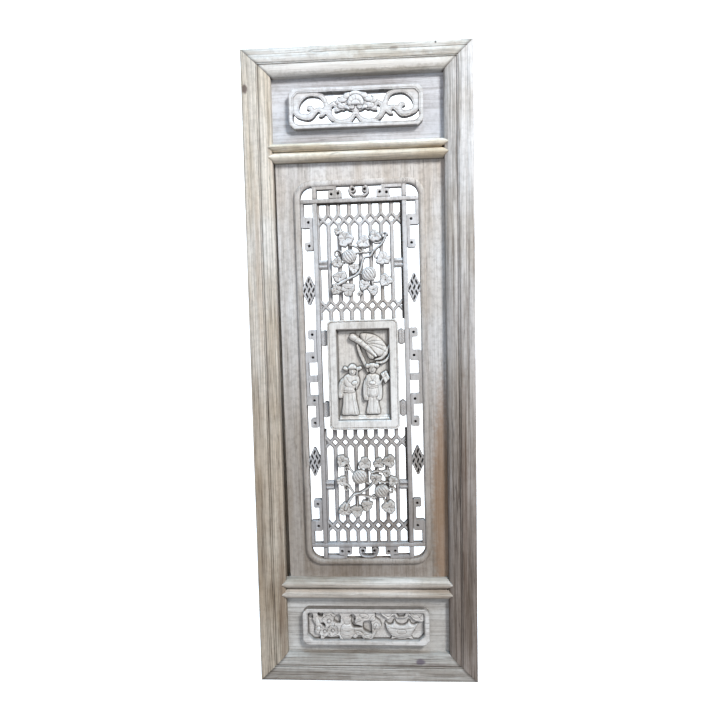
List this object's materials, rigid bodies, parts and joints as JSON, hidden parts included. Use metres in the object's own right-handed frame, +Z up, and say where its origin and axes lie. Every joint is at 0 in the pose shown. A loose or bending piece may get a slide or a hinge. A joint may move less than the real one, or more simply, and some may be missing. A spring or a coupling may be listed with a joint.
{
  "type": "carved fretwork door leaf",
  "caption": "Weathered wooden leaf with a moulded frame, a pierced scroll plaque, a fretwork lattice with vine carvings and a figure panel, and a relief plaque.",
  "frame": {"origin": "middle of the top rail's back face, where the leaf is fixed or hung", "axes": "+X to the right as seen from the front, +Y to the back and the wall, +Z up"},
  "size_m": [0.48, 0.045, 1.362],
  "materials": {
    "frame_wood": "weathered, bare, open brown grain",
    "rail_wood": "weathered, bare, warmer tan",
    "board_wood": "bleached, bare, fine grain",
    "carved_wood": "bleached, bare, dust-grey recesses",
    "lattice_wood": "bleached, bare, lavender grey"
  },
  "bodies": {
    "root": {"applique_lower": "carved_wood", "applique_upper": "carved_wood", "bar_left": "lattice_wood", "bar_lower": "lattice_wood", "bar_right": "lattice_wood", "bar_upper": "lattice_wood", "board_bottom": "board_wood", "board_top": "board_wood", "cartouche_bottom": "carved_wood", "cartouche_top": "carved_wood", "cleat_bamboo_lower_left": "lattice_wood", "cleat_bamboo_lower_right": "lattice_wood", "cleat_bamboo_upper_left": "lattice_wood", "cleat_bamboo_upper_right": "lattice_wood", "cleat_leaf_lower_left": "lattice_wood", "cleat_leaf_lower_right": "lattice_wood", "cleat_leaf_upper_left": "lattice_wood", "cleat_leaf_upper_right": "lattice_wood", "fret_end_lower_left": "lattice_wood", "fret_end_lower_right": "lattice_wood", "fret_end_upper_left": "lattice_wood", "fret_end_upper_right": "lattice_wood", "fret_lower_left": "lattice_wood", "fret_lower_right": "lattice_wood", "fret_middle_left": "lattice_wood", "fret_middle_right": "lattice_wood", "fret_upper_left": "lattice_wood", "fret_upper_right": "lattice_wood", "knot_lower_left": "lattice_wood", "knot_lower_right": "lattice_wood", "knot_upper_left": "lattice_wood", "knot_upper_right": "lattice_wood", "lattice_lower": "lattice_wood", "lattice_upper": "lattice_wood", "leaf_board_bottom": "board_wood", "leaf_board_left": "board_wood", "leaf_board_right": "board_wood", "leaf_board_top": "board_wood", "leaf_ring_bottom": "lattice_wood", "leaf_ring_left": "lattice_wood", "leaf_ring_right": "lattice_wood", "leaf_ring_top": "lattice_wood", "picture_panel": "carved_wood", "rail_bottom": "frame_wood", "rail_mid_lower": "rail_wood", "rail_mid_upper": "rail_wood", "rail_top": "frame_wood", "scroll_lower": "lattice_wood", "scroll_upper": "lattice_wood", "stile_left": "frame_wood", "stile_right": "frame_wood"}
  },
  "joints": []
}
